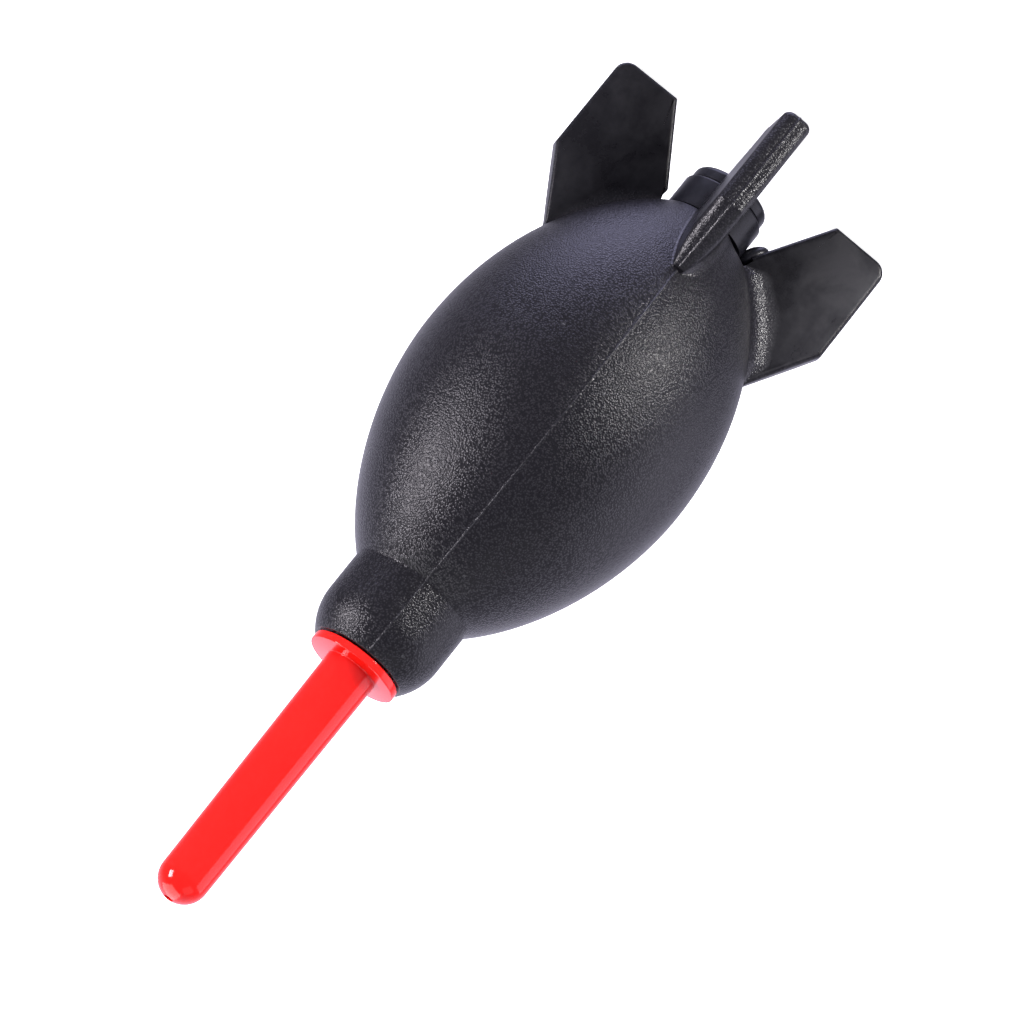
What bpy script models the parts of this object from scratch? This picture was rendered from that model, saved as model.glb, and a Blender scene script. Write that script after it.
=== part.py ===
"""Dust blower bulb: a rocket-shaped rubber air blower that stands on four tail fins.

The frame: +Z runs along the blower's axis towards the nozzle's tip, and the origin is the centre of the
plane that the four fin feet stand on. The fins lie in the XZ and YZ planes. All sizes are in metres.

The rubber moulding is one piece on the real object. Here it is a shell, four fins and two wall patches,
because the patches move in when the bulb is squeezed and the spaces between the fins stay open.
"""

import math

import bmesh
import bpy

MM = 0.001
GAP = 0.3 * MM  # the clearance that neighbouring pieces keep
TURNED_STEPS = 48  # sides of the large round pieces
SMALL_STEPS = 36  # sides of the small round pieces

# The bulb: a pointed ellipsoid, whose radius falls from its widest ring by a power law.
BULB_RADIUS = 31.1 * MM
BULB_WIDEST_Z = 68.0 * MM
BULB_REACH = 54.0 * MM
BULB_FRONT_LAW = (1.88, 0.640)  # power of the height, power of the radius
BULB_REAR_LAW = (2.08, 0.665)
BULB_WALL = 2.6 * MM
BULB_CURVE_STEPS = 22

# The neck that holds the nozzle, with a shoulder that is part of a sphere.
NECK_RADIUS = 13.1 * MM
NECK_SHOULDER_Z = 123.0 * MM
NECK_END_Z = 131.2 * MM
NECK_BORE = 6.8 * MM
NECK_BORE_START_Z = 112.6 * MM

# The bulb's tail, cut square where the valve's collar sits on it.
TAIL_RADIUS = 9.3 * MM
TAIL_BORE = 7.0 * MM
TAIL_BORE_END_Z = 20.2 * MM

# The two wall patches that move in when the bulb is squeezed, ovals seen along X.
PATCH_HALF_WIDTH = 19.0 * MM
PATCH_HALF_HEIGHT = 24.0 * MM
PATCH_CENTRE_Z = 67.0 * MM
PATCH_GAP = 0.4 * MM

# The fins, in the plane of radius and height.
FRONT_FIN_THICKNESS = 6.1 * MM
SIDE_FIN_THICKNESS = 4.4 * MM
FIN_OUTER_RADIUS = 33.7 * MM
FIN_FOOT_START = 20.3 * MM
FIN_SHOULDER_Z = 23.4 * MM
FIN_ROOT_TOP_Z = 37.7 * MM
FIN_ROOT_END = (10.5 * MM, 16.6 * MM)
FIN_FOOT_CORNER = 3.0 * MM
FIN_SMALL_CORNER = 1.2 * MM
FIN_EDGE_ROUNDING = 0.8 * MM
FIN_BOW_START_Z = 24.0 * MM  # above this height a fin fines away like a ship's bow
FIN_BOW_DEPTH = 1.7 * MM
FIN_BOW_STEPS = 7
FIN_ROOT_STEPS = 9

# The nozzle: a tapered tube with a round tip, a flange and a ribbed shank.
NOZZLE_TIP_Z = 190.3 * MM
NOZZLE_TIP_RADIUS = 5.08 * MM
NOZZLE_BASE_RADIUS = 5.53 * MM
NOZZLE_ORIFICE = 1.0 * MM
NOZZLE_BORE_TIP = 3.2 * MM
NOZZLE_BORE_BASE = 3.9 * MM
FLANGE_RADIUS = 9.7 * MM
FLANGE_BOTTOM_Z = NECK_END_Z + GAP
FLANGE_TOP_Z = 133.2 * MM
FLANGE_EDGE = 0.45 * MM
SHANK_RADIUS = 5.9 * MM
SHANK_END_Z = 108.5 * MM
SHANK_RIB_RADIUS = 6.5 * MM
SHANK_RIB_LENGTH = 2.0 * MM
SHANK_RIB_STARTS = (113.5 * MM, 118.0 * MM, 122.5 * MM)

# The intake valve in the tail, from the outside inwards.
CAP_RADIUS = 8.46 * MM
CAP_END_Z = 7.8 * MM
CAP_TOP_Z = 10.8 * MM
CAP_EDGE = 1.3 * MM
CAP_HOLE = 1.5 * MM
CAP_FLOOR_Z = 9.4 * MM
CAP_SPIGOT_RADIUS = 4.6 * MM
CAP_SPIGOT_BORE = 3.9 * MM
CAP_SPIGOT_TOP_Z = 12.4 * MM
FILTER_RADIUS = 3.6 * MM
FILTER_Z = (9.7 * MM, 11.2 * MM)
COLLAR_RADIUS = 9.06 * MM
COLLAR_END_Z = CAP_TOP_Z + GAP
COLLAR_EDGE = 0.5 * MM
HOUSING_SPIGOT = TAIL_BORE - GAP
HOUSING_BORE = 4.9 * MM
HOUSING_TOP_Z = 23.3 * MM
HOUSING_BARB_RADIUS = 7.7 * MM
HOUSING_BARB_Z = (20.9 * MM, 21.9 * MM)
SEAT_HOLE = 2.4 * MM
SEAT_Z = (13.0 * MM, 14.2 * MM)
DISC_RADIUS = 3.9 * MM
DISC_Z = (14.5 * MM, 15.3 * MM)
CAGE_RADIUS = 4.6 * MM
CAGE_BORE = 3.5 * MM
CAGE_Z = (16.8 * MM, 18.4 * MM)
CAGE_BAR = 1.2 * MM


def clear_scene():
    """Removes what the start-up file holds."""
    for thing in list(bpy.data.objects):
        bpy.data.objects.remove(thing, do_unlink=True)


def material(name, colour, roughness, metallic=0.0):
    """A plain material of one colour."""
    made = bpy.data.materials.new(name)
    made.use_nodes = True
    shader = made.node_tree.nodes["Principled BSDF"]
    shader.inputs["Base Color"].default_value = (*colour, 1.0)
    shader.inputs["Roughness"].default_value = roughness
    shader.inputs["Metallic"].default_value = metallic
    return made


def add_object(name, mesh, finish):
    """Puts a mesh in the scene as a named piece."""
    piece = bpy.data.objects.new(name, mesh)
    bpy.context.scene.collection.objects.link(piece)
    if not mesh.materials:
        mesh.materials.append(finish)
    return piece


def arc(centre, radius, start, end, steps):
    """Points on a circle in the plane of radius and height, between two angles in degrees."""
    points = []
    for i in range(steps + 1):
        angle = math.radians(start + (end - start) * i / steps)
        points.append((centre[0] + radius * math.cos(angle), centre[1] + radius * math.sin(angle)))
    return points


def turned_mesh(name, profile, steps, closed=True):
    """A profile of (radius, height) points turned about Z; a closed one makes a ring, an open one a plug."""
    shape = bmesh.new()
    ring = [shape.verts.new((radius, 0.0, height)) for radius, height in profile]
    pairs = list(zip(ring, ring[1:]))
    if closed:
        pairs.append((ring[-1], ring[0]))
    edges = [shape.edges.new(pair) for pair in pairs]
    bmesh.ops.spin(
        shape,
        geom=ring + edges,
        cent=(0.0, 0.0, 0.0),
        axis=(0.0, 0.0, 1.0),
        angle=2.0 * math.pi,
        steps=steps,
        use_merge=True,
    )
    bmesh.ops.remove_doubles(shape, verts=shape.verts, dist=1e-6)
    bmesh.ops.dissolve_degenerate(shape, edges=shape.edges, dist=1e-7)
    bmesh.ops.recalc_face_normals(shape, faces=shape.faces)
    mesh = bpy.data.meshes.new(name)
    shape.to_mesh(mesh)
    shape.free()
    mesh.shade_smooth()
    mesh.set_sharp_from_angle(angle=math.radians(35.0))
    return mesh


def turned(name, profile, finish, steps=SMALL_STEPS, closed=True):
    """A turned piece in the scene."""
    return add_object(name, turned_mesh(name, profile, steps, closed), finish)


def cutter(name, mesh):
    """A guide solid for a Boolean, which isn't a piece itself."""
    guide = bpy.data.objects.new(name, mesh)
    bpy.context.scene.collection.objects.link(guide)
    guide.hide_render = True
    guide.display_type = "WIRE"
    return guide


def add_boolean(piece, guide, operation):
    """Cuts, keeps or joins the guide's shape."""
    step = piece.modifiers.new(guide.name, "BOOLEAN")
    step.operation = operation
    step.solver = "EXACT"
    step.object = guide


def bulb_radius(height):
    """The outer radius of the bulb at a height."""
    power, exponent = BULB_FRONT_LAW if height > BULB_WIDEST_Z else BULB_REAR_LAW
    reach = min(abs(height - BULB_WIDEST_Z) / BULB_REACH, 1.0)
    return BULB_RADIUS * (1.0 - reach**power) ** exponent


def height_on_bulb(radius, low, high):
    """The height between low and high where the bulb has this radius, found by halving."""
    rising = bulb_radius(high) > bulb_radius(low)
    for _ in range(50):
        middle = (low + high) / 2.0
        if (bulb_radius(middle) < radius) == rising:
            low = middle
        else:
            high = middle
    return (low + high) / 2.0


def bulb_curve(low, high, steps, inset=0.0):
    """Points up the bulb's outer curve, moved in by inset along the curve's normal."""
    points = []
    small = 0.01 * MM
    for i in range(steps + 1):
        height = low + (high - low) * (1.0 - math.cos(math.pi * i / steps)) / 2.0
        slope = (bulb_radius(height + small) - bulb_radius(height - small)) / (2.0 * small)
        length = math.hypot(1.0, slope)
        points.append((bulb_radius(height) - inset / length, height + inset * slope / length))
    return points


def bulb_profile():
    """The section of the hollow rubber bulb with its neck and its square-cut tail."""
    tail_z = height_on_bulb(TAIL_RADIUS, BULB_WIDEST_Z - BULB_REACH, BULB_WIDEST_Z)
    neck_z = height_on_bulb(NECK_RADIUS, BULB_WIDEST_Z, BULB_WIDEST_Z + BULB_REACH)
    shoulder_end = math.degrees(math.asin((NECK_END_Z - NECK_SHOULDER_Z) / NECK_RADIUS))
    outside = [(TAIL_BORE, tail_z)]
    outside += bulb_curve(tail_z, neck_z, BULB_CURVE_STEPS)
    outside += arc((0.0, NECK_SHOULDER_Z), NECK_RADIUS, 0.0, shoulder_end, 6)
    chamber = bulb_curve(tail_z, neck_z - BULB_WALL / 2.0, BULB_CURVE_STEPS, BULB_WALL)
    inside = [(NECK_BORE, NECK_END_Z), (NECK_BORE, NECK_BORE_START_Z)]
    inside += list(reversed(chamber))
    inside += [(TAIL_BORE, TAIL_BORE_END_Z)]
    return outside + inside


def patch_cutter(name, grow, side):
    """An oval bar along X, from the middle of the bulb outwards on one side."""
    shape = bmesh.new()
    reach = 2.0 * BULB_RADIUS
    centre = (side * reach / 2.0, 0.0, PATCH_CENTRE_Z)
    bmesh.ops.create_cone(
        shape, cap_ends=True, cap_tris=False, segments=56, radius1=1.0, radius2=1.0, depth=reach
    )
    for corner in shape.verts:
        across, up, along = corner.co
        corner.co = (
            centre[0] + along,
            centre[1] + across * (PATCH_HALF_WIDTH + grow),
            centre[2] + up * (PATCH_HALF_HEIGHT + grow),
        )
    bmesh.ops.recalc_face_normals(shape, faces=shape.faces)
    mesh = bpy.data.meshes.new(name)
    shape.to_mesh(mesh)
    shape.free()
    return cutter(name, mesh)


def make_bulb(rubber):
    """The rubber shell and the two wall patches that the fingers press in."""
    profile = bulb_profile()
    shell = turned("bulb_shell", profile, rubber, TURNED_STEPS)
    for name, side in (("squeeze_wall_left", -1.0), ("squeeze_wall_right", 1.0)):
        add_boolean(shell, patch_cutter(name + "_opening", 0.0, side), "DIFFERENCE")
        patch = turned(name, profile, rubber, TURNED_STEPS)
        add_boolean(patch, patch_cutter(name + "_outline", -PATCH_GAP, side), "INTERSECT")


def rounded_corner(before, corner, after, radius, steps):
    """The arc that rounds a corner of an outline."""
    arms = []
    for other in (before, after):
        length = math.hypot(other[0] - corner[0], other[1] - corner[1])
        arms.append(((other[0] - corner[0]) / length, (other[1] - corner[1]) / length))
    cosine = arms[0][0] * arms[1][0] + arms[0][1] * arms[1][1]
    half = math.acos(cosine) / 2.0
    bisector = (arms[0][0] + arms[1][0], arms[0][1] + arms[1][1])
    stretch = radius / math.sin(half) / math.hypot(*bisector)
    centre = (corner[0] + bisector[0] * stretch, corner[1] + bisector[1] * stretch)
    reach = radius / math.tan(half)
    ends = [(corner[0] + arm[0] * reach, corner[1] + arm[1] * reach) for arm in arms]
    angles = [math.degrees(math.atan2(end[1] - centre[1], end[0] - centre[0])) for end in ends]
    turn = (angles[1] - angles[0] + 180.0) % 360.0 - 180.0
    return arc(centre, radius, angles[0], angles[0] + turn, steps)


def fin_outline():
    """A fin's outline, from its root at the collar round its foot and back down the bulb."""
    root_top = (bulb_radius(FIN_ROOT_TOP_Z) + GAP, FIN_ROOT_TOP_Z)
    foot_inner = (FIN_FOOT_START, 0.0)
    foot_outer = (FIN_OUTER_RADIUS, 0.0)
    shoulder = (FIN_OUTER_RADIUS, FIN_SHOULDER_Z)
    points = [FIN_ROOT_END]
    points += rounded_corner(FIN_ROOT_END, foot_inner, foot_outer, FIN_SMALL_CORNER, 3)
    points += rounded_corner(foot_inner, foot_outer, shoulder, FIN_FOOT_CORNER, 5)
    points += rounded_corner(foot_outer, shoulder, root_top, FIN_SMALL_CORNER, 2)
    low = height_on_bulb(FIN_ROOT_END[0], BULB_WIDEST_Z - BULB_REACH, BULB_WIDEST_Z)
    root = bulb_curve(low, FIN_ROOT_TOP_Z, FIN_ROOT_STEPS, -1.5 * GAP)
    return points + list(reversed(root))[:-1]


def bow_outline(half):
    """Half a fin's thickness by height, as (across, height) points down one side and up the other."""
    reach = FIN_ROOT_TOP_Z + 1.0 * MM - FIN_BOW_START_Z
    side = [(half, -1.0 * MM)]
    for i in range(FIN_BOW_STEPS + 1):
        share = i / FIN_BOW_STEPS
        side.append((half - FIN_BOW_DEPTH * share**2.2, FIN_BOW_START_Z + reach * share))
    return side + [(-across, height) for across, height in reversed(side)]


def bow_cutter(name, turn, half):
    """A bar along a fin, from its root outwards, whose section is the bow's outline."""
    shape = bmesh.new()
    near = [shape.verts.new((1.0 * MM, across, height)) for across, height in bow_outline(half)]
    face = shape.faces.new(near)
    grown = bmesh.ops.extrude_face_region(shape, geom=[face])
    far = [item for item in grown["geom"] if isinstance(item, bmesh.types.BMVert)]
    bmesh.ops.translate(shape, verts=far, vec=(FIN_OUTER_RADIUS + 4.0 * MM, 0.0, 0.0))
    bmesh.ops.recalc_face_normals(shape, faces=shape.faces)
    mesh = bpy.data.meshes.new(name)
    shape.to_mesh(mesh)
    shape.free()
    guide = cutter(name, mesh)
    guide.rotation_euler.z = turn
    return guide


def fin_plate(name, thickness):
    """A plate of a fin's outline, centred on the plane y = 0 and slightly thicker than the finished fin."""
    thick = thickness + 2.0 * GAP
    shape = bmesh.new()
    near = [shape.verts.new((x, -thick / 2.0, z)) for x, z in fin_outline()]
    face = shape.faces.new(near)
    grown = bmesh.ops.extrude_face_region(shape, geom=[face])
    far = [item for item in grown["geom"] if isinstance(item, bmesh.types.BMVert)]
    bmesh.ops.translate(shape, verts=far, vec=(0.0, thick, 0.0))
    bmesh.ops.recalc_face_normals(shape, faces=shape.faces)
    mesh = bpy.data.meshes.new(name)
    shape.to_mesh(mesh)
    shape.free()
    return mesh


def make_fins(rubber):
    """Four fins a quarter turn apart, the side ones thinner, with rounded edges and a fine leading end."""
    thicknesses = (SIDE_FIN_THICKNESS, FRONT_FIN_THICKNESS)
    plates = [fin_plate("fin_plate", thickness) for thickness in thicknesses]
    for i, name in enumerate(("fin_right", "fin_back", "fin_left", "fin_front")):
        turn = math.radians(90.0 * i)
        fin = add_object(name, plates[i % 2], rubber)
        fin.rotation_euler.z = turn
        rounding = fin.modifiers.new("rounded_edges", "BEVEL")
        rounding.width = FIN_EDGE_ROUNDING + GAP
        rounding.segments = 2
        rounding.limit_method = "ANGLE"
        rounding.angle_limit = math.radians(50.0)
        add_boolean(fin, bow_cutter(name + "_bow", turn, thicknesses[i % 2] / 2.0), "INTERSECT")


def nozzle_profile():
    """The section of the nozzle, up its outside and down its bore."""
    outside = [(SHANK_RADIUS - 1.0 * MM, SHANK_END_Z), (SHANK_RADIUS, SHANK_END_Z + 1.0 * MM)]
    for start in SHANK_RIB_STARTS:
        outside += [
            (SHANK_RADIUS, start),
            (SHANK_RIB_RADIUS, start + SHANK_RIB_LENGTH),
            (SHANK_RADIUS, start + SHANK_RIB_LENGTH + 0.2 * MM),
        ]
    edge = FLANGE_RADIUS - FLANGE_EDGE
    outside += [(SHANK_RADIUS, FLANGE_BOTTOM_Z)]
    outside += arc((edge, FLANGE_BOTTOM_Z + FLANGE_EDGE), FLANGE_EDGE, -90.0, 0.0, 3)
    outside += arc((edge, FLANGE_TOP_Z - FLANGE_EDGE), FLANGE_EDGE, 0.0, 90.0, 3)
    outside += [(NOZZLE_BASE_RADIUS + 0.4 * MM, FLANGE_TOP_Z), (NOZZLE_BASE_RADIUS, FLANGE_TOP_Z + 0.4 * MM)]
    tip_centre = (0.0, NOZZLE_TIP_Z - NOZZLE_TIP_RADIUS)
    mouth_angle = math.degrees(math.acos(NOZZLE_ORIFICE / NOZZLE_TIP_RADIUS))
    outside += arc(tip_centre, NOZZLE_TIP_RADIUS, 0.0, mouth_angle, 8)
    inside = [
        (NOZZLE_ORIFICE, NOZZLE_TIP_Z - 1.8 * MM),
        (NOZZLE_BORE_TIP, tip_centre[1]),
        (NOZZLE_BORE_BASE, FLANGE_TOP_Z),
        (NOZZLE_BORE_BASE, SHANK_END_Z),
    ]
    return outside + inside


def make_valve(plastic, silicone, felt):
    """The one-way intake valve in the tail: cap, filter, housing with its seat, disc and cage."""
    edge_centre = (CAP_RADIUS - CAP_EDGE, CAP_END_Z + CAP_EDGE)
    cap = [(CAP_HOLE, CAP_END_Z)]
    cap += arc(edge_centre, CAP_EDGE, -90.0, 0.0, 5)
    cap += [
        (CAP_RADIUS, CAP_TOP_Z),
        (CAP_SPIGOT_RADIUS, CAP_TOP_Z),
        (CAP_SPIGOT_RADIUS, CAP_SPIGOT_TOP_Z),
        (CAP_SPIGOT_BORE, CAP_SPIGOT_TOP_Z),
        (CAP_SPIGOT_BORE, CAP_FLOOR_Z),
        (CAP_HOLE, CAP_FLOOR_Z),
    ]
    turned("end_cap", cap, plastic)
    pad = [(0.0, FILTER_Z[0]), (FILTER_RADIUS, FILTER_Z[0]), (FILTER_RADIUS, FILTER_Z[1]), (0.0, FILTER_Z[1])]
    turned("intake_filter", pad, felt, closed=False)
    tail_z = height_on_bulb(TAIL_RADIUS, BULB_WIDEST_Z - BULB_REACH, BULB_WIDEST_Z)
    edge_centre = (COLLAR_RADIUS - COLLAR_EDGE, COLLAR_END_Z + COLLAR_EDGE)
    housing = arc(edge_centre, COLLAR_EDGE, -90.0, 0.0, 3)
    housing += [
        (COLLAR_RADIUS, tail_z - GAP),
        (HOUSING_SPIGOT, tail_z - GAP),
        (HOUSING_SPIGOT, HOUSING_BARB_Z[0]),
        (HOUSING_BARB_RADIUS, HOUSING_BARB_Z[0]),
        (HOUSING_BARB_RADIUS, HOUSING_BARB_Z[1]),
        (HOUSING_SPIGOT - 0.6 * MM, HOUSING_TOP_Z),
        (HOUSING_BORE, HOUSING_TOP_Z),
        (HOUSING_BORE, SEAT_Z[1]),
        (SEAT_HOLE, SEAT_Z[1]),
        (SEAT_HOLE, SEAT_Z[0]),
        (HOUSING_BORE, SEAT_Z[0]),
        (HOUSING_BORE, COLLAR_END_Z),
    ]
    turned("valve_housing", housing, plastic)
    middle = (DISC_Z[0] + DISC_Z[1]) / 2.0
    disc = [(0.0, DISC_Z[0]), (DISC_RADIUS - GAP, DISC_Z[0]), (DISC_RADIUS, middle)]
    disc += [(DISC_RADIUS - GAP, DISC_Z[1]), (0.0, DISC_Z[1])]
    turned("valve_disc", disc, silicone, closed=False)
    ring = [(CAGE_BORE, CAGE_Z[0]), (CAGE_RADIUS, CAGE_Z[0]), (CAGE_RADIUS, CAGE_Z[1]), (CAGE_BORE, CAGE_Z[1])]
    cage = turned("valve_cage", ring, plastic)
    for i in range(2):
        add_boolean(cage, cage_bar(f"cage_bar_{i}", 90.0 * i), "UNION")


def cage_bar(name, turn):
    """A bar across the cage, which ends inside the cage's ring."""
    shape = bmesh.new()
    bmesh.ops.create_cube(shape, size=1.0)
    length = CAGE_BORE + CAGE_RADIUS
    inset = 0.1 * MM
    height = CAGE_Z[1] - CAGE_Z[0] - 2.0 * inset
    bmesh.ops.scale(shape, verts=shape.verts, vec=(length, CAGE_BAR, height))
    mesh = bpy.data.meshes.new(name)
    shape.to_mesh(mesh)
    shape.free()
    bar = cutter(name, mesh)
    bar.location.z = (CAGE_Z[0] + CAGE_Z[1]) / 2.0
    bar.rotation_euler.z = math.radians(turn)
    return bar


def main():
    """Builds the whole blower."""
    clear_scene()
    rubber = material("black_rubber", (0.018, 0.019, 0.023), 0.5)
    red = material("red_plastic", (0.86, 0.012, 0.010), 0.18)
    black = material("black_plastic", (0.012, 0.012, 0.014), 0.35)
    silicone = material("grey_silicone", (0.45, 0.45, 0.44), 0.5)
    felt = material("white_felt", (0.75, 0.74, 0.70), 0.95)
    make_bulb(rubber)
    make_fins(rubber)
    turned("nozzle", nozzle_profile(), red)
    make_valve(black, silicone, felt)


main()
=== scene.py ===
"""Looks of the dust blower bulb: the pebbled rubber rocket, its red nozzle and the intake valve in its tail.

Everything is in metres in the CAD model's frame: +Z runs along the blower to the nozzle's tip, and the
blower stands on its four fins on the plane z = 0.
"""

import math
from collections import namedtuple

import bmesh
import bpy
import numpy as np
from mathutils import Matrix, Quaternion, Vector


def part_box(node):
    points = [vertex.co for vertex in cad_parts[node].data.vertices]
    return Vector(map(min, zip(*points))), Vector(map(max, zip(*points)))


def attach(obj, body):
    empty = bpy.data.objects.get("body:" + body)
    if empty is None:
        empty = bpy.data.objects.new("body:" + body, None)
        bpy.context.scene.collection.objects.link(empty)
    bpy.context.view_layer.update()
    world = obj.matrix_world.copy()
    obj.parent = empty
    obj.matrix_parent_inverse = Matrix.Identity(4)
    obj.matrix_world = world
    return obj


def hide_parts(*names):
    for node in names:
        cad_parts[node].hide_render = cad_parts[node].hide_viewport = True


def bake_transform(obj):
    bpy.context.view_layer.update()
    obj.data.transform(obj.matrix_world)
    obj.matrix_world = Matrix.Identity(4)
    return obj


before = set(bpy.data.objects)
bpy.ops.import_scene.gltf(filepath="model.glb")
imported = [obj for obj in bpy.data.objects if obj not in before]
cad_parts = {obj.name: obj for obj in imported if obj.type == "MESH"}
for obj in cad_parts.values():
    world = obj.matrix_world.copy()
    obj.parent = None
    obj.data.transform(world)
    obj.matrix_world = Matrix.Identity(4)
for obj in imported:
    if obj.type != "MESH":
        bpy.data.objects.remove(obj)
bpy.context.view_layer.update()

MM = 0.001
STEPS = 144  # sides of the turned pieces

# Driving sizes, read from the CAD solids.
BULB_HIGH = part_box("bulb_shell")[1]
COLLAR_LOW, COLLAR_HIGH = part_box("valve_housing")
CAP_LOW, CAP_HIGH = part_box("end_cap")
FIN_OUTER_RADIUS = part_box("fin_right")[1].x
NOZZLE_LOW, NOZZLE_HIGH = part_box("nozzle")

# The rubber moulding: the CAD model's bulb law, neck and tail.
BULB_RADIUS = BULB_HIGH.y
BULB_WIDEST_Z = 68.0 * MM
BULB_REACH = 54.0 * MM
BULB_FRONT_LAW = (1.88, 0.640)
BULB_REAR_LAW = (2.08, 0.665)
BULB_WALL = 2.6 * MM
NECK_RADIUS = 13.1 * MM
NECK_SHOULDER_Z = 123.0 * MM
NECK_END_Z = BULB_HIGH.z
NECK_BORE = 6.8 * MM
NECK_BORE_START_Z = 112.6 * MM
TAIL_RADIUS = 9.3 * MM
TAIL_BORE = 7.0 * MM
TAIL_BORE_END_Z = 20.2 * MM

# What the moulding has besides: small edge radii, the raised parting line and a lip that gapes in one place.
NECK_CREASE = 0.7 * MM  # radius of the hollow between bulb and neck
LIP_ROUND = 0.25 * MM
SEAM_HEIGHT = 0.13 * MM
SEAM_WIDTH = 0.19 * MM
GAPE_HEIGHT = 1.1 * MM
GAPE_DEPTH = 2.6 * MM
GAPE_ANGLE = 50.0  # degrees from the front parting line, on the left side
GAPE_SPREAD = 17.0

# The fins. A rim's shape is the height of its rounding, the flat share of its width and how square it is.
FIN_FOOT_START = 20.3 * MM
FIN_SHOULDER_Z = 23.4 * MM
FIN_ROOT_END = (10.5 * MM, 16.6 * MM)
FIN_BOW_START_Z = 24.0 * MM
FIN_DRAFT = 0.7 * MM
FIN_SMALL_CORNER = 0.5 * MM
FIN_BOW_LAW = 2.4
FIN_SEAM = 0.16 * MM
FIN_SEAM_WIDTH = 0.17 * MM
FIN_RIM_CHANGE = 5.0 * MM  # height above the shoulder over which one rim shape turns into the other
FIN_ROOT_DEPTH = 0.8 * MM  # how far a fin reaches into the bulb's skin
NUB_RADII = (3.4 * MM, 2.1 * MM, 1.7 * MM)
NUB_CENTRE = (-10.9 * MM, -0.4 * MM, 15.5 * MM)
FILLET_STEPS = 8
FLANK_STEPS = 8
RIM_SHARES = (0.985, 0.955, 0.9, 0.82, 0.72, 0.6, 0.45, 0.3, 0.16, 0.09, 0.04)
FinShape = namedtuple("FinShape", "fillets foot_corner foot_z root_top bow foot_rim bow_rim rim_grain seam")
FRONT_FIN = FinShape(
    fillets=(2.2 * MM, 0.6 * MM),
    foot_corner=1.5 * MM,
    foot_z=0.0,
    root_top=37.3 * MM,
    bow=2.3 * MM,
    foot_rim=(1.7 * MM, 0.4, 2.0),
    bow_rim=(2.4 * MM, 0.0, 2.8),
    rim_grain=0.75,
    seam=FIN_SEAM,
)
SIDE_FIN = FinShape(
    fillets=(1.6 * MM, 4.6 * MM),
    foot_corner=3.0 * MM,
    foot_z=0.0,
    root_top=38.6 * MM,
    bow=1.2 * MM,
    foot_rim=(1.1 * MM, 0.0, 6.0),
    bow_rim=(1.1 * MM, 0.0, 6.0),
    rim_grain=0.4,
    seam=0.0,
)
FINS = {
    "fin_right": SIDE_FIN._replace(fillets=(0.12 * MM, 1.6 * MM), foot_z=0.4 * MM),
    "fin_back": FRONT_FIN._replace(fillets=(1.6 * MM, 1.6 * MM)),
    "fin_left": SIDE_FIN,
    "fin_front": FRONT_FIN,
}


# ---------------------------------------------------------------- outlines


def arc(centre, radius, start, end, steps):
    """Points on a circle in the plane of radius and height, between two angles in degrees."""
    points = []
    for i in range(steps + 1):
        angle = math.radians(start + (end - start) * i / steps)
        points.append((centre[0] + radius * math.cos(angle), centre[1] + radius * math.sin(angle)))
    return points


def rounded_corner(before, corner, after, radius, steps):
    """The arc that rounds a corner of an outline."""
    arms = []
    for other in (before, after):
        length = math.hypot(other[0] - corner[0], other[1] - corner[1])
        arms.append(((other[0] - corner[0]) / length, (other[1] - corner[1]) / length))
    cosine = arms[0][0] * arms[1][0] + arms[0][1] * arms[1][1]
    half = math.acos(cosine) / 2.0
    bisector = (arms[0][0] + arms[1][0], arms[0][1] + arms[1][1])
    stretch = radius / math.sin(half) / math.hypot(*bisector)
    centre = (corner[0] + bisector[0] * stretch, corner[1] + bisector[1] * stretch)
    reach = radius / math.tan(half)
    ends = [(corner[0] + arm[0] * reach, corner[1] + arm[1] * reach) for arm in arms]
    angles = [math.degrees(math.atan2(end[1] - centre[1], end[0] - centre[0])) for end in ends]
    turn = (angles[1] - angles[0] + 180.0) % 360.0 - 180.0
    return arc(centre, radius, angles[0], angles[0] + turn, steps)


def along(start, end, steps):
    """Points from start towards end, without the end."""
    return [
        (start[0] + (end[0] - start[0]) * i / steps, start[1] + (end[1] - start[1]) * i / steps)
        for i in range(steps)
    ]


def bulb_radius(height):
    """The outer radius of the bulb at a height."""
    power, exponent = BULB_FRONT_LAW if height > BULB_WIDEST_Z else BULB_REAR_LAW
    reach = min(abs(height - BULB_WIDEST_Z) / BULB_REACH, 1.0)
    return BULB_RADIUS * (1.0 - reach**power) ** exponent


def height_on_bulb(radius, low, high):
    """The height between low and high where the bulb has this radius, found by halving."""
    rising = bulb_radius(high) > bulb_radius(low)
    for _ in range(50):
        middle = (low + high) / 2.0
        if (bulb_radius(middle) < radius) == rising:
            low = middle
        else:
            high = middle
    return (low + high) / 2.0


def bulb_normal(height):
    """The bulb's outward normal at a height, as (along the radius, along Z)."""
    small = 0.02 * MM
    slope = (bulb_radius(height + small) - bulb_radius(height - small)) / (2.0 * small)
    length = math.hypot(1.0, slope)
    return 1.0 / length, -slope / length


def bulb_curve(low, high, steps, inset=0.0):
    """Points up the bulb's curve, moved in by inset along its normal."""
    points = []
    for i in range(steps + 1):
        height = low + (high - low) * (1.0 - math.cos(math.pi * i / steps)) / 2.0
        out, up = bulb_normal(height)
        points.append((bulb_radius(height) - inset * out, height - inset * up))
    return points


TAIL_Z = height_on_bulb(TAIL_RADIUS, BULB_WIDEST_Z - BULB_REACH, BULB_WIDEST_Z)
NECK_Z = height_on_bulb(NECK_RADIUS, BULB_WIDEST_Z, BULB_WIDEST_Z + BULB_REACH)


# ---------------------------------------------------------------- meshes


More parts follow.
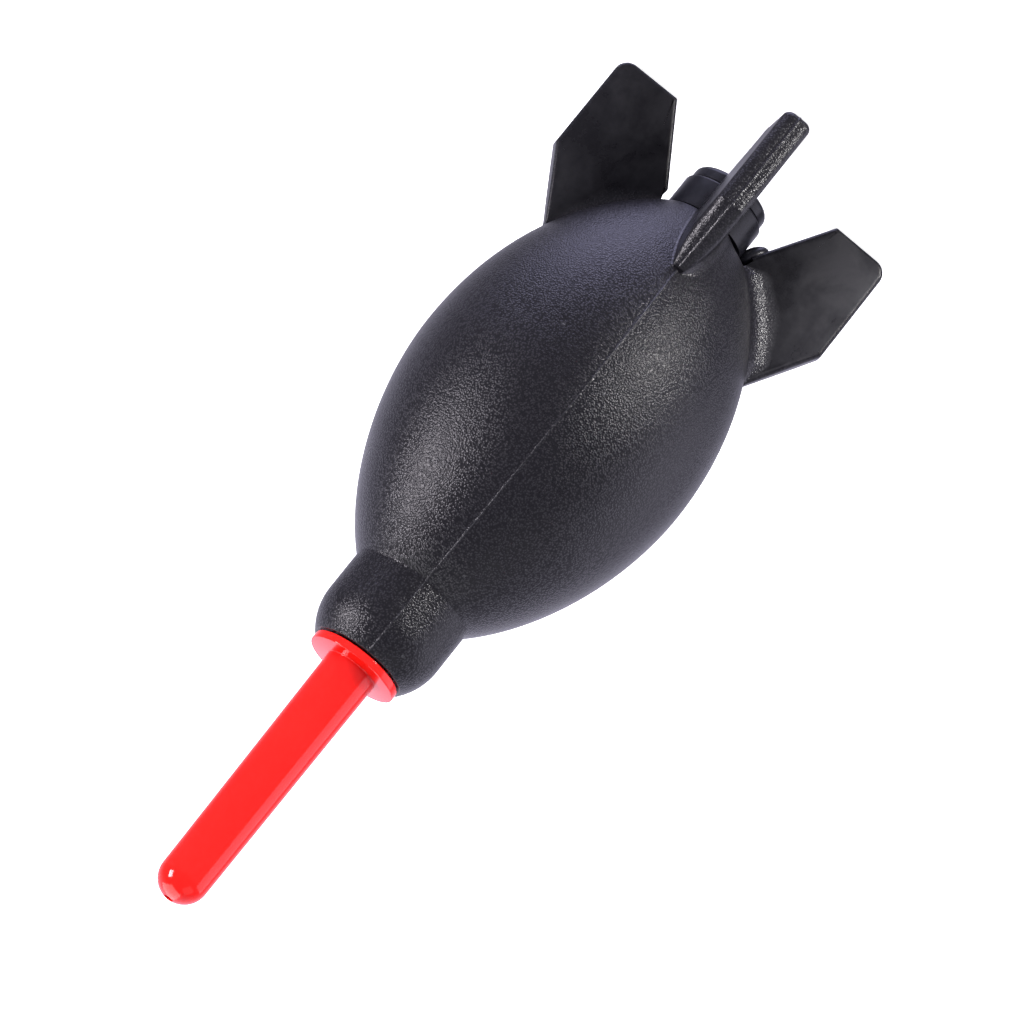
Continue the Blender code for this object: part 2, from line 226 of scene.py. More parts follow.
def finish_mesh(shape, name, sharp=40.0):
    """A bmesh as a smooth-shaded object with its faces pointing out."""
    bmesh.ops.recalc_face_normals(shape, faces=shape.faces)
    mesh = bpy.data.meshes.new(name)
    shape.to_mesh(mesh)
    shape.free()
    mesh.shade_smooth()
    mesh.set_sharp_from_angle(angle=math.radians(sharp))
    piece = bpy.data.objects.new(name, mesh)
    bpy.context.scene.collection.objects.link(piece)
    return piece


def turned(name, profile):
    """A closed profile of (radius, height) points turned about Z into a ring."""
    shape = bmesh.new()
    ring = [shape.verts.new((radius, 0.0, height)) for radius, height in profile]
    pairs = list(zip(ring, ring[1:])) + [(ring[-1], ring[0])]
    edges = [shape.edges.new(pair) for pair in pairs]
    turn = {"cent": (0.0, 0.0, 0.0), "axis": (0.0, 0.0, 1.0), "angle": 2.0 * math.pi}
    bmesh.ops.spin(shape, geom=ring + edges, steps=STEPS, use_merge=True, **turn)
    bmesh.ops.remove_doubles(shape, verts=shape.verts, dist=1e-6)
    bmesh.ops.dissolve_degenerate(shape, edges=shape.edges, dist=1e-7)
    return finish_mesh(shape, name)


# ---------------------------------------------------------------- materials


class Nodes:
    """A small helper that builds a material's node tree."""

    def __init__(self, name):
        self.material = bpy.data.materials.new(name)
        self.material.use_nodes = True
        self.tree = self.material.node_tree
        self.shader = self.tree.nodes["Principled BSDF"]
        self.place = self.add("ShaderNodeTexCoord").outputs["Object"]

    def add(self, kind, settings=None, **inputs):
        """A node with its settings and its input values or links; an underscore stands for a space."""
        node = self.tree.nodes.new(kind)
        for key, value in (settings or {}).items():
            setattr(node, key, value)
        for key, value in inputs.items():
            self.join(value, node.inputs[key.replace("_", " ")])
        return node

    def join(self, value, socket):
        """Links an output to a socket, or sets the socket's value."""
        if isinstance(value, bpy.types.NodeSocket):
            self.tree.links.new(value, socket)
        else:
            socket.default_value = value

    def math(self, operation, first, second=0.0, third=0.0):
        """One arithmetic step."""
        node = self.tree.nodes.new("ShaderNodeMath")
        node.operation = operation
        for value, socket in zip((first, second, third), node.inputs):
            self.join(value, socket)
        return node.outputs[0]

    def noise(self, scale, detail=2.0, roughness=0.5, distortion=0.0):
        """Smooth noise, from 0 to 1, with features 1 / scale metres wide."""
        node = self.add(
            "ShaderNodeTexNoise",
            Vector=self.place,
            Scale=scale,
            Detail=detail,
            Roughness=roughness,
            Distortion=distortion,
        )
        return node.outputs["Fac"]

    def cells(self, scale, place):
        """Distance to the nearest cell centre of a random pattern."""
        return self.add("ShaderNodeTexVoronoi", Vector=place, Scale=scale).outputs["Distance"]

    def spread(self, value, low, high, new_low, new_high, curve="LINEAR"):
        """Maps a value from one range to another, clamped."""
        node = self.add("ShaderNodeMapRange", {"interpolation_type": curve}, Value=value)
        for key, number in zip(("From Min", "From Max", "To Min", "To Max"), (low, high, new_low, new_high)):
            node.inputs[key].default_value = number
        return node.outputs["Result"]

    def mix(self, share, first, second):
        """A blend of two colours."""
        node = self.add("ShaderNodeMix", {"data_type": "RGBA"})
        self.join(share, node.inputs[0])
        for value, index in ((first, 6), (second, 7)):
            self.join(value if isinstance(value, bpy.types.NodeSocket) else (*value, 1.0), node.inputs[index])
        return node.outputs[2]

    def blend(self, share, first, second):
        """A blend of two values."""
        node = self.add("ShaderNodeMix", {"data_type": "FLOAT"})
        for value, index in ((share, 0), (first, 2), (second, 3)):
            self.join(value, node.inputs[index])
        return node.outputs[0]

    def bump(self, height, depth, strength=1.0, normal=None):
        """A normal bent by a height of 0 to 1 that stands for depth metres."""
        node = self.add("ShaderNodeBump", Strength=strength, Distance=depth, Height=height)
        if normal is not None:
            self.join(normal, node.inputs["Normal"])
        return node.outputs["Normal"]

    def finish(self, colour, roughness, normal=None, **values):
        """Sets the shader's inputs and gives the material."""
        self.join(colour, self.shader.inputs["Base Color"])
        self.join(roughness, self.shader.inputs["Roughness"])
        if normal is not None:
            self.join(normal, self.shader.inputs["Normal"])
        for key, value in values.items():
            self.join(value, self.shader.inputs[key.replace("_", " ")])
        return self.material


def pebbled_rubber(name, faded=False, parting=False):
    """Black rubber with the fine pebble grain of an etched mould.

    A faded one turns into the smooth rubber of the fins' sides where the mesh's grain value falls to 0, and
    that rubber has painted shade: it is darker and less shiny towards the fin's root on the bulb and paler
    towards its outer edge, along its local X. One with a parting line has a thin pale line where the two
    halves of the mould met, in the plane x = 0.
    """
    n = Nodes(name)
    grained = n.add("ShaderNodeAttribute", {"attribute_name": "grain"}).outputs["Fac"] if faded else 1.0
    warp = n.add("ShaderNodeTexNoise", Vector=n.place, Scale=1100.0, Detail=1.0)
    shift = n.add("ShaderNodeVectorMath", {"operation": "MULTIPLY_ADD"})
    n.join(warp.outputs["Color"], shift.inputs[0])
    shift.inputs[1].default_value = (0.0003, 0.0003, 0.0003)
    n.join(n.place, shift.inputs[2])
    cells = n.cells(2450.0, shift.outputs[0])
    pebbles = n.spread(cells, 0.05, 0.80, 1.0, 0.0, "SMOOTHSTEP")
    fine = n.noise(4500.0, detail=2.0)
    broad = n.noise(75.0, detail=4.0, roughness=0.6, distortion=0.4)
    height = n.math("MULTIPLY", n.math("ADD", pebbles, n.math("MULTIPLY", fine, 0.35)), grained)
    flow = n.bump(broad, 0.00018, 0.35)
    grain = n.bump(height, 0.00010, strength=0.62, normal=flow)
    mottle = n.spread(broad, 0.3, 0.7, 0.0, 1.0)
    # Painted shade and painted sheen: the pebbles' valleys are painted darker, as shade, and their raised
    # tops paler, as sheen.
    raised = n.mix(mottle, (0.0125, 0.0118, 0.0148), (0.0160, 0.0152, 0.0186))
    tone = n.mix(n.spread(pebbles, 0.3, 0.9, 0.0, 1.0), (0.0065, 0.0062, 0.0080), raised)
    specks = n.spread(n.noise(700.0, detail=0.0), 0.85, 0.87, 0.0, 0.25)
    tone = n.mix(specks, tone, (0.12, 0.12, 0.125))
    if parting:
        aside = n.math("ABSOLUTE", n.add("ShaderNodeSeparateXYZ", Vector=n.place).outputs["X"])
        line = n.spread(aside, 0.00005, 0.00016, 1.0, 0.0)
        patchy = n.spread(n.noise(220.0, detail=2.0), 0.38, 0.62, 0.05, 0.65)
        tone = n.mix(n.math("MULTIPLY", line, patchy), tone, (0.040, 0.040, 0.045))
    roughness = n.spread(n.math("ADD", broad, n.math("MULTIPLY", fine, 0.5)), 0.4, 1.1, 0.25, 0.34)
    # Painted sheen: the pebbles' tops get a higher specular level than their valleys.
    shine = n.spread(pebbles, 0.2, 0.9, 0.34, 0.66)
    if faded:
        streaks = n.noise(420.0, detail=3.0, roughness=0.6)
        wear = n.math("ADD", broad, n.math("MULTIPLY", streaks, 0.3))
        worn = n.spread(wear, 0.46, 0.86, 0.0, 1.0, "SMOOTHSTEP")
        # Painted shade: the smooth sides are painted darker, and given a lower specular level, towards the
        # root on the bulb, and paler towards the outer edge, along the local X; the mottle and the wear are
        # the rubber's own.
        radius = n.add("ShaderNodeSeparateXYZ", Vector=n.place).outputs["X"]
        outer = n.spread(radius, 0.018, 0.033, 0.0, 1.0)
        pale = n.math("MULTIPLY_ADD", mottle, 0.5, n.math("MULTIPLY", outer, 0.5))
        root_shaded_smooth_tone = n.mix(pale, (0.0016, 0.0015, 0.0022), (0.0105, 0.0101, 0.0124))
        tone = n.mix(grained, root_shaded_smooth_tone, tone)
        roughness = n.blend(grained, n.spread(worn, 0.0, 1.0, 0.26, 0.38), roughness)
        root_shade_on_shine = n.spread(outer, 0.0, 1.0, 0.62, 1.40)
        scuffed_and_root_shaded_shine = n.math("MULTIPLY", n.spread(worn, 0.0, 1.0, 0.14, 0.32), root_shade_on_shine)
        shine = n.blend(grained, scuffed_and_root_shaded_shine, n.math("MULTIPLY", shine, 1.5))
    return n.finish(tone, roughness, grain, Specular_IOR_Level=shine)


def collar_plastic():
    """Smooth black plastic, with faint flow marks and handling."""
    n = Nodes("collar_black_plastic")
    broad = n.noise(90.0, detail=4.0, roughness=0.65, distortion=0.8)
    streaks = n.noise(400.0, detail=3.0, roughness=0.6)
    tone = n.mix(n.spread(broad, 0.3, 0.7, 0.0, 1.0), (0.0062, 0.0063, 0.0088), (0.0093, 0.0095, 0.0130))
    worn = n.spread(n.math("ADD", broad, n.math("MULTIPLY", streaks, 0.3)), 0.45, 0.80, 0.0, 1.0)
    height = n.math("ADD", n.math("MULTIPLY", broad, 3.0), n.math("MULTIPLY", streaks, 0.4))
    shine = n.spread(worn, 0.0, 1.0, 0.30, 0.46)
    roughness = n.spread(worn, 0.0, 1.0, 0.24, 0.38)
    return n.finish(tone, roughness, n.bump(height, 0.00006, 0.35), Specular_IOR_Level=shine)


def nozzle_plastic():
    """Glossy red injection-moulded plastic."""
    n = Nodes("nozzle_red_plastic")
    flow = n.noise(45.0, detail=3.0, distortion=0.5)
    fine = n.noise(1500.0, detail=2.0)
    colour = n.mix(n.spread(flow, 0.3, 0.7, 0.0, 1.0), (0.80, 0.006, 0.003), (0.86, 0.010, 0.006))
    roughness = n.spread(fine, 0.3, 0.7, 0.08, 0.13)
    skin = n.bump(n.math("ADD", flow, n.math("MULTIPLY", fine, 0.04)), 0.00010, 0.25)
    depth = (0.004, 0.0008, 0.0006)
    inputs = {"Specular_IOR_Level": 0.5, "Subsurface_Weight": 0.08, "Subsurface_Radius": depth}
    return n.finish(colour, roughness, skin, Subsurface_Scale=1.0, **inputs)


def silicone():
    """Soft grey silicone of the valve's disc."""
    n = Nodes("disc_silicone")
    cloud = n.noise(500.0, detail=2.0)
    colour = n.mix(cloud, (0.40, 0.40, 0.39), (0.50, 0.50, 0.485))
    return n.finish(colour, n.spread(cloud, 0.3, 0.7, 0.38, 0.55), n.bump(cloud, 0.00005, 0.3))


def felt():
    """Pressed white filter felt."""
    n = Nodes("filter_felt")
    fibres = n.noise(2500.0, detail=6.0, roughness=0.75, distortion=2.5)
    colour = n.mix(n.spread(fibres, 0.35, 0.65, 0.0, 1.0), (0.55, 0.54, 0.50), (0.83, 0.82, 0.78))
    return n.finish(colour, 0.95, n.bump(fibres, 0.0002, 0.9), Sheen_Weight=0.3)


# ---------------------------------------------------------------- the rubber bulb


def bulb_section():
    """The closed section of the moulding as (radius, height, share of the seam's ridge) points."""
    crease = rounded_corner(
        (bulb_radius(NECK_Z - 3.0 * MM), NECK_Z - 3.0 * MM),
        (NECK_RADIUS, NECK_Z),
        (NECK_RADIUS, NECK_SHOULDER_Z),
        NECK_CREASE,
        6,
    )
    shoulder_end = math.degrees(math.asin((NECK_END_Z - NECK_SHOULDER_Z) / NECK_RADIUS))
    shoulder = arc((0.0, NECK_SHOULDER_Z), NECK_RADIUS, 0.0, shoulder_end, 12)
    lip = rounded_corner(shoulder[-2], shoulder[-1], (NECK_BORE, NECK_END_Z), LIP_ROUND, 3)
    rim = (TAIL_RADIUS - LIP_ROUND, TAIL_Z)
    outside = [(TAIL_BORE, TAIL_Z), rim]
    skin = bulb_curve(TAIL_Z + 0.15 * MM, NECK_Z, 90)
    outside += [point for point in skin if point[1] < crease[0][1] - 0.3 * MM]
    outside += crease
    outside += along(crease[-1], shoulder[0], 6)[1:]
    outside += shoulder[:-1] + lip
    inside = [(NECK_BORE + 0.2 * MM, NECK_END_Z), (NECK_BORE, NECK_END_Z - 0.2 * MM)]
    inside += [(NECK_BORE, NECK_BORE_START_Z)]
    inside += list(reversed(bulb_curve(TAIL_Z, NECK_Z - BULB_WALL / 2.0, 30, BULB_WALL)))
    inside += [(TAIL_BORE, TAIL_BORE_END_Z)]
    section = [(*point, 1.0) for point in outside]
    section += [(*point, 0.0) for point in inside]
    section[0] = (*outside[0], 0.0)
    return section


def sweep_angles():
    """Angles from the front seam to the back seam, close together beside both seams."""
    near = [0.0, 0.12, 0.25, 0.4, 0.6, 0.85, 1.2, 1.7, 2.4, 3.4, 4.6]
    count = 80
    middle = [6.0 + (180.0 - 12.0) * i / count for i in range(count + 1)]
    return near + middle + [180.0 - angle for angle in reversed(near)]


def tail_gape(angle, height):
    """How far the tail's lip stands off the collar, in the one place between two fins where it gapes."""
    window = math.exp(-(((math.degrees(angle) - GAPE_ANGLE) / GAPE_SPREAD) ** 2))
    return GAPE_HEIGHT * window * max(0.0, 1.0 - (height - TAIL_Z) / GAPE_DEPTH)


def make_bulb_half(name, side, finish):
    """Half of the moulding, from the front parting line to the back one, as a closed shell."""
    section = bulb_section()
    angles = [math.radians(angle) for angle in sweep_angles()]
    shape = bmesh.new()
    rows = []
    for angle in angles:
        row = []
        for radius, height, ridge in section:
            beside = radius * math.sin(angle)
            grown = radius + ridge * SEAM_HEIGHT * math.exp(-((beside / SEAM_WIDTH) ** 2))
            lifted = height + (tail_gape(angle, height) if side < 0.0 else 0.0)
            row.append(shape.verts.new((side * grown * math.sin(angle), -grown * math.cos(angle), lifted)))
        rows.append(row)
    count = len(section)
    for first, second in zip(rows, rows[1:]):
        for i in range(count):
            shape.faces.new((first[i], first[(i + 1) % count], second[(i + 1) % count], second[i]))
    shape.faces.new(rows[0])
    shape.faces.new(rows[-1])
    piece = finish_mesh(shape, name)
    piece.data.materials.append(finish)
    return piece


def bend_with_wall(piece):
    """Bakes a bulb half's placement into its mesh."""
    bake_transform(piece)


# ---------------------------------------------------------------- the fins


def fin_half_thickness(shape, plate, radius, height):
    """Half a fin's thickness: thicker towards the axis, and fining away like a bow above the shoulder."""
    bow = (height - FIN_BOW_START_Z) / (shape.root_top - FIN_BOW_START_Z)
    draft = (FIN_OUTER_RADIUS - radius) / (FIN_OUTER_RADIUS - FIN_ROOT_END[0])
    return plate / 2.0 + FIN_DRAFT * draft - shape.bow * min(max(bow, 0.0), 1.0) ** FIN_BOW_LAW


def fin_rim(shape):
    """A fin's free edge, from its root at the tail round its foot and shoulder to its root on the bulb."""
    root_top = (bulb_radius(shape.root_top), shape.root_top)
    foot_inner = (FIN_FOOT_START, shape.foot_z)
    foot_outer = (FIN_OUTER_RADIUS, shape.foot_z)
    shoulder = (FIN_OUTER_RADIUS, FIN_SHOULDER_Z)
    corners = (
        rounded_corner(FIN_ROOT_END, foot_inner, foot_outer, FIN_SMALL_CORNER, 6),
        rounded_corner(foot_inner, foot_outer, shoulder, shape.foot_corner, 10),
        rounded_corner(foot_outer, shoulder, root_top, FIN_SMALL_CORNER, 6),
    )
    points = [FIN_ROOT_END]
    for corner in corners:
        points += along(points[-1], corner[0], 12)[1:] + corner
    return points + along(points[-1], root_top, 24)[1:]


def rim_normals(points):
    """The outward direction at each point of a fin's free edge."""
    normals = []
    for i in range(len(points)):
        before = points[max(i - 1, 0)]
        after = points[min(i + 1, len(points) - 1)]
        step = (after[0] - before[0], after[1] - before[1])
        length = math.hypot(*step)
        normals.append((step[1] / length, -step[0] / length))
    return normals


def fin_side(base, normal, across, foot, fillet):
    """One side's fillet, from inside the bulb's skin to the flank, as (radius, width, height) points."""
    centre = math.sqrt((across + fillet) ** 2 - (foot + fillet) ** 2) - across
    toe = math.atan2(-(centre + across), -(foot + fillet))
    profile = []
    for j in range(FILLET_STEPS + 1):
        angle = -math.pi + (toe + math.pi) * (FILLET_STEPS - j) / FILLET_STEPS
        profile.append((foot + fillet + fillet * math.cos(angle), centre + fillet * math.sin(angle)))
    profile.insert(0, (profile[0][0], profile[0][1] - FIN_ROOT_DEPTH))
    return [(base[0] + high * normal[0], wide, base[1] + high * normal[1]) for wide, high in profile]


def fin_rim_profile(half, height, flat, squareness, seam):
    """The rounded rim across a fin's thickness, as (width, height) points from one flank to the other."""
    side = []
    for share in RIM_SHARES:
        ridge = seam * math.exp(-((share * half / FIN_SEAM_WIDTH) ** 2))
        turning = max(share - flat, 0.0) / (1.0 - flat)
        side.append((share * half, height * (1.0 - turning**squareness) ** 0.45 + ridge))
    return [(-y, high) for y, high in side] + [(0.0, height + seam)] + list(reversed(side))


def fin_section(shape, plate, rim, outward, share):
    """The closed section of a fin from the bulb up one side, over its rounded rim and down the other side."""
    low = height_on_bulb(FIN_ROOT_END[0], BULB_WIDEST_Z - BULB_REACH, BULB_WIDEST_Z)
    root_z = low + (shape.root_top - low) * share
    normal = bulb_normal(root_z)
    across = bulb_radius(root_z) / max(normal[0], 0.2)
    base = (bulb_radius(root_z), root_z)
    rise = max((rim[0] - base[0]) * normal[0] + (rim[1] - base[1]) * normal[1], 0.05 * MM)
    above = min(max((rim[1] - FIN_SHOULDER_Z) / FIN_RIM_CHANGE, 0.0), 1.0)
    nose, flat, squareness = (low + (high - low) * above for low, high in zip(shape.foot_rim, shape.bow_rim))
    round_off = min(nose, 0.7 * fin_half_thickness(shape, plate, *rim), 0.75 * rise)
    top = (rim[0] - outward[0] * round_off, rim[1] - outward[1] * round_off)
    foot = fin_half_thickness(shape, plate, *base)
    sides = []
    for side, fillet in zip((-1.0, 1.0), shape.fillets):
        points = fin_side(base, normal, across, foot, min(fillet, 0.4 * rise))
        start = points[-1]
        step = foot - fin_half_thickness(shape, plate, start[0], start[2])
        for j in range(1, FLANK_STEPS + 1):
            mixed = j / FLANK_STEPS
            x = start[0] + (top[0] - start[0]) * mixed
            z = start[2] + (top[1] - start[2]) * mixed
            points.append((x, fin_half_thickness(shape, plate, x, z) + step * (1.0 - mixed) ** 2, z))
        sides.append([(x, side * y, z) for x, y, z in points])
    over = fin_rim_profile(fin_half_thickness(shape, plate, *top), round_off, flat, squareness, shape.seam)
    rounded = [(top[0] + outward[0] * high, y, top[1] + outward[1] * high) for y, high in over]
    return sides[0] + rounded + list(reversed(sides[1])), len(sides[0])


def make_fin(fin, turn, finish):
    """One fin: smooth sides that sweep into the bulb, and a rounded pebbled rim."""
    shape = FINS[fin]
    low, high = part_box(fin)
    plate = min(high.x - low.x, high.y - low.y)
    rims = fin_rim(shape)
    mesh = bmesh.new()
    grain = mesh.verts.layers.float.new("grain")
    rows = []
    for i, (rim, outward) in enumerate(zip(rims, rim_normals(rims))):
        section, side_count = fin_section(shape, plate, rim, outward, i / (len(rims) - 1))
        row = []
        for j, point in enumerate(section):
            corner = mesh.verts.new(point)
            from_root = min(j, len(section) - 1 - j)
            over_rim = min((from_root - side_count + 1) / 3.0, 1.0) * shape.rim_grain
            over_fillet = 1.0 - (from_root - FILLET_STEPS) / 1.8
            corner[grain] = min(max(over_fillet, over_rim, 0.0), 1.0)
            row.append(corner)
        rows.append(row)
    count = len(rows[0])
    for first, second in zip(rows, rows[1:]):
        for j in range(count):
            mesh.faces.new((first[j], first[(j + 1) % count], second[(j + 1) % count], second[j]))
    mesh.faces.new(rows[0])
    mesh.faces.new(rows[-1])
    piece = finish_mesh(mesh, fin + "_skin", 50.0)
    piece.data.materials.append(finish)
    piece.rotation_euler.z = turn
    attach(piece, "root")
    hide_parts(fin)


def make_moulding_nub(finish):
    """A small smooth blob left by the moulding on the inner edge of the left fin, beside the collar."""
    shape = bmesh.new()
    bmesh.ops.create_uvsphere(shape, u_segments=32, v_segments=20, radius=1.0)
    for corner in shape.verts:
        corner.co = [step * radius for step, radius in zip(corner.co, NUB_RADII)]
    piece = finish_mesh(shape, "fin_left_nub")
    piece.data.materials.append(finish)
    inner = (FIN_FOOT_START - FIN_ROOT_END[0], -FIN_ROOT_END[1])
    piece.location = NUB_CENTRE
    piece.rotation_euler.y = -math.atan2(inner[1], -inner[0])
    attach(piece, "root")


# ---------------------------------------------------------------- nozzle and valve


def nozzle_profile():
    """The section of the nozzle, up its outside and down its bore."""
    flange_radius = NOZZLE_HIGH.x
    flange_bottom = NECK_END_Z + 0.3 * MM
    flange_top = 133.2 * MM
    edge = 0.22 * MM
    tip_radius = 5.08 * MM
    base_radius = 5.53 * MM
    shank = 5.9 * MM
    rib = 6.5 * MM
    outside = [(shank - 1.0 * MM, NOZZLE_LOW.z), (shank, NOZZLE_LOW.z + 1.0 * MM)]
    for start in (113.5 * MM, 118.0 * MM, 122.5 * MM):
        outside += [(shank, start), (rib, start + 1.9 * MM)]
        outside += [(rib, start + 2.0 * MM), (shank, start + 2.2 * MM)]
    outside += [(shank, flange_bottom)]
    outside += arc((flange_radius - edge, flange_bottom + edge), edge, -90.0, 0.0, 4)
    outside += arc((flange_radius - edge, flange_top - edge), edge, 0.0, 90.0, 4)
    fillet = 0.18 * MM
    outside += arc((base_radius + fillet, flange_top + fillet), fillet, 270.0, 180.0, 5)
    tip_centre = (0.0, NOZZLE_HIGH.z + 0.1 * MM - tip_radius)
    outside += along(outside[-1], (tip_radius, tip_centre[1]), 24)[1:]
    orifice = 1.0 * MM
    mouth = math.degrees(math.acos((orifice + 0.12 * MM) / tip_radius))
    outside += arc(tip_centre, tip_radius, 0.0, mouth, 20)
    top = outside[-1][1]
    inside = [
        (orifice, top - 0.1 * MM),
        (orifice, top - 1.8 * MM),
        (3.2 * MM, tip_centre[1]),
        (3.9 * MM, flange_top),
        (3.9 * MM, NOZZLE_LOW.z),
    ]
    return outside + inside


def make_nozzle(plastic):
    """The red nozzle."""
    piece = turned("nozzle_red", nozzle_profile())
    piece.data.materials.append(plastic)
    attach(piece, "nozzle")
    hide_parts("nozzle")


def make_valve(plastic, disc, filling):
    """The valve's smooth collar and cap, and finishes for the pieces inside them."""
    collar = COLLAR_HIGH.x
    edge = 0.45 * MM
    spigot = 6.7 * MM
    barb = 7.7 * MM
    bore = 4.9 * MM
    seat_hole = 2.4 * MM
    housing = arc((collar - edge, COLLAR_LOW.z + edge), edge, -90.0, 0.0, 5)
    housing += [
        (collar, TAIL_Z - 0.3 * MM),
        (spigot, TAIL_Z - 0.3 * MM),
        (spigot, 20.9 * MM),
        (barb, 20.9 * MM),
        (barb, 21.9 * MM),
        (6.1 * MM, COLLAR_HIGH.z),
        (bore, COLLAR_HIGH.z),
        (bore, 14.2 * MM),
        (seat_hole, 14.2 * MM),
        (seat_hole, 13.0 * MM),
        (bore, 13.0 * MM),
        (bore, COLLAR_LOW.z),
    ]
    piece = turned("valve_collar", housing)
    piece.data.materials.append(plastic)
    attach(piece, "root")
    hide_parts("valve_housing")
    edge = 1.3 * MM
    radius = CAP_HIGH.x
    top = 10.8 * MM
    hole = 1.5 * MM
    cap_spigot = 4.6 * MM
    pocket = 3.9 * MM
    cap = [(hole, CAP_LOW.z + 0.3 * MM), (hole + 0.3 * MM, CAP_LOW.z)]
    cap += arc((radius - edge, CAP_LOW.z + edge), edge, -90.0, 0.0, 10)
    cap += [
        (radius, top - 0.15 * MM),
        (radius - 0.15 * MM, top),
        (cap_spigot, top),
        (cap_spigot, CAP_HIGH.z),
        (pocket, CAP_HIGH.z),
        (pocket, 9.4 * MM),
        (hole, 9.4 * MM),
    ]
    piece = turned("end_cap_smooth", cap)
    piece.data.materials.append(plastic)
    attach(piece, "root")
    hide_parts("end_cap")
    for node, finish in (("valve_cage", plastic), ("valve_disc", disc), ("intake_filter", filling)):
        repaint(node, finish)


def repaint(node, finish):
    """Gives a CAD node a better material."""
    piece = bpy.data.objects[node]
    for place in piece.material_slots:
        place.material = finish


# ---------------------------------------------------------------- stage


def look_at(thing, target):
    """Turns a light so that it points at a place."""
    thing.rotation_mode = "QUATERNION"
    thing.rotation_quaternion = (Vector(target) - thing.location).to_track_quat("-Z", "Y")


def softbox(name, direction, distance, width, height, power, colour=(1.0, 1.0, 1.0)):
    """A rectangular soft light that points at the middle of the bulb."""
    light = bpy.data.lights.new(name, "AREA")
    light.shape = "RECTANGLE"
    light.size = width
    light.size_y = height
    light.energy = power
    light.color = colour
    lamp = bpy.data.objects.new(name, light)
    bpy.context.scene.collection.objects.link(lamp)
    middle = Vector((0.0, 0.0, BULB_WIDEST_Z))
    lamp.location = middle + Vector(direction).normalized() * distance
    look_at(lamp, middle)
    return lamp


def make_camera():
    """The camera in front of one fin, a little above, rolled so that the nozzle points down to the left."""
    azimuth = math.radians(2.3)
    elevation = math.radians(18.1)
    distance = 1.05
    roll = math.radians(141.4)
    aim_z = 88.3 * MM
    aim_aside = -5.2 * MM
    data = bpy.data.cameras.new("camera")
    data.sensor_width = 36.0
    data.lens = 190.9
    data.clip_start = 0.05
    data.clip_end = 20.0
    camera = bpy.data.objects.new("camera", data)
    bpy.context.scene.collection.objects.link(camera)
    back = Vector(
        (
            math.sin(azimuth) * math.cos(elevation),
            -math.cos(azimuth) * math.cos(elevation),
            math.sin(elevation),
        )
    )
    right = Vector((math.cos(azimuth), math.sin(azimuth), 0.0))
    target = Vector((0.0, 0.0, aim_z)) + right * aim_aside
    camera.location = target + back * distance
    camera.rotation_mode = "QUATERNION"
    upright = (-back).to_track_quat("-Z", "Y")
    camera.rotation_quaternion = upright @ Quaternion((0.0, 0.0, 1.0), -roll)
    bpy.context.scene.camera = camera


def make_floor():
    """A plain pale floor that fills every view."""
    shape = bmesh.new()
    bmesh.ops.create_grid(shape, x_segments=1, y_segments=1, size=8.0)
    floor = finish_mesh(shape, "floor")
    floor.location.z = -0.2 * MM
    n = Nodes("pale_floor")
    grain = n.noise(120.0, detail=3.0)
    n.finish(n.mix(grain, (0.86, 0.86, 0.86), (0.90, 0.90, 0.90)), 0.9)
    n.shader.inputs["Emission Color"].default_value = (1.0, 1.0, 1.0, 1.0)
    n.shader.inputs["Emission Strength"].default_value = 0.95
    floor.data.materials.append(n.material)
    floor.visible_glossy = False
    floor.visible_shadow = False


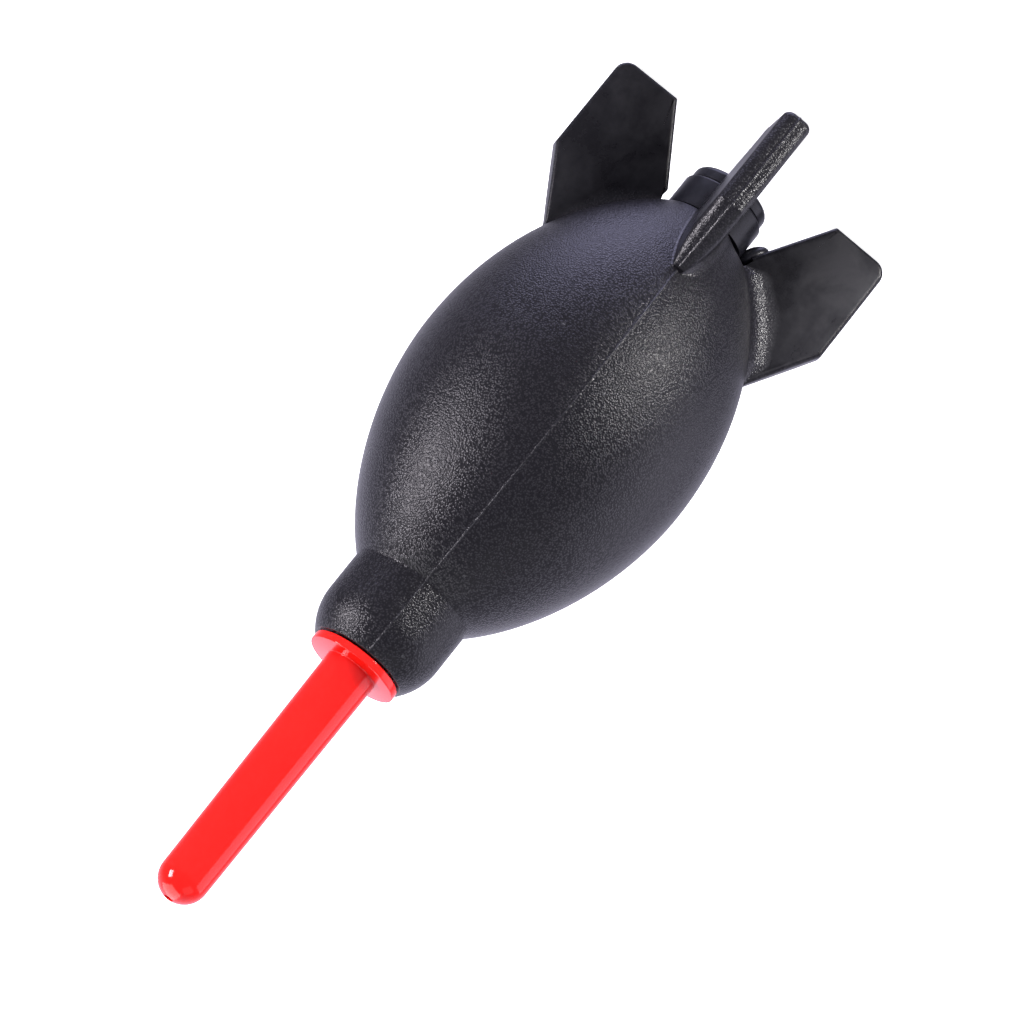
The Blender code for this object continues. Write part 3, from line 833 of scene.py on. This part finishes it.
def make_world():
    """White surroundings that give less light from in front of the blower than from behind it."""
    world = bpy.data.worlds.new("studio")
    bpy.context.scene.world = world
    world.use_nodes = True
    tree = world.node_tree
    background = tree.nodes["Background"]
    place = tree.nodes.new("ShaderNodeTexCoord")
    facing = tree.nodes.new("ShaderNodeVectorMath")
    facing.operation = "DOT_PRODUCT"
    facing.inputs[1].default_value = (-0.12, 1.0, 0.5)
    tree.links.new(place.outputs["Generated"], facing.inputs[0])
    ramp = tree.nodes.new("ShaderNodeMapRange")
    ramp.interpolation_type = "SMOOTHSTEP"
    for key, number in (("From Min", 0.25), ("From Max", 1.25), ("To Min", 0.29), ("To Max", 1.5)):
        ramp.inputs[key].default_value = number
    tree.links.new(facing.outputs["Value"], ramp.inputs["Value"])
    tree.links.new(ramp.outputs["Result"], background.inputs["Strength"])
    background.inputs["Color"].default_value = (0.91, 0.88, 1.10, 1.0)
    backdrop = tree.nodes.new("ShaderNodeBackground")
    seen = tree.nodes.new("ShaderNodeLightPath")
    either = tree.nodes.new("ShaderNodeMixShader")
    tree.links.new(seen.outputs["Is Camera Ray"], either.inputs["Fac"])
    tree.links.new(background.outputs["Background"], either.inputs[1])
    tree.links.new(backdrop.outputs["Background"], either.inputs[2])
    tree.links.new(either.outputs["Shader"], tree.nodes["World Output"].inputs["Surface"])
    backdrop.inputs["Color"].default_value = (1.0, 1.0, 1.0, 1.0)


def make_lights():
    """Soft boxes round the blower, one overhead and a small card whose light only reaches the left fin."""
    softbox("key_right", (0.767, -0.292, 0.452), 1.0, 0.30, 0.42, 8.1, (1.0, 0.94, 1.02))
    softbox("fill_left", (-0.43, -0.68, -0.58), 1.0, 0.13, 0.24, 5.8, (1.0, 0.97, 0.97))
    softbox("tail_blue", (0.47, -0.01, -0.82), 1.2, 0.95, 1.05, 8.6, (0.66, 0.65, 1.0))
    softbox("card_left", (-0.93, -0.05, -0.22), 1.0, 0.85, 0.85, 2.8, (0.93, 0.90, 1.08))
    softbox("card_low", (-0.62, -0.37, 0.66), 1.0, 0.60, 0.60, 0.55)
    card = softbox("card_front", (0.0, -1.0, 0.0), 1.0, 0.095, 0.26, 0.165, (0.95, 0.92, 1.05))
    card.location = (-0.083, -0.33, -0.085)
    look_at(card, (-0.02, 0.0, 0.012))
    lit = bpy.data.collections.new("lit_by_card_front")
    lit.objects.link(bpy.data.objects["fin_left_skin"])
    card.light_linking.receiver_collection = lit
    softbox("overhead", (0.1, 0.3, 1.0), 1.6, 1.6, 1.6, 20.0)


# ---------------------------------------------------------------- assembly

pebbled = pebbled_rubber("pebbled_rubber", parting=True)
fin_rubber = pebbled_rubber("fin_rubber", faded=True)
collar_black = collar_plastic()

for wall, side in (("wall_left", -1.0), ("wall_right", 1.0)):
    half = make_bulb_half("bulb_" + wall[5:], side, pebbled)
    bend_with_wall(half)
    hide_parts("bulb_shell", "squeeze_" + wall)

for index, fin in enumerate(FINS):
    make_fin(fin, math.radians(90.0 * index), fin_rubber)
make_moulding_nub(collar_black)

make_nozzle(nozzle_plastic())
make_valve(collar_black, silicone(), felt())
make_camera()
make_floor()
make_world()
make_lights()
bpy.context.scene.view_settings.view_transform = "Standard"
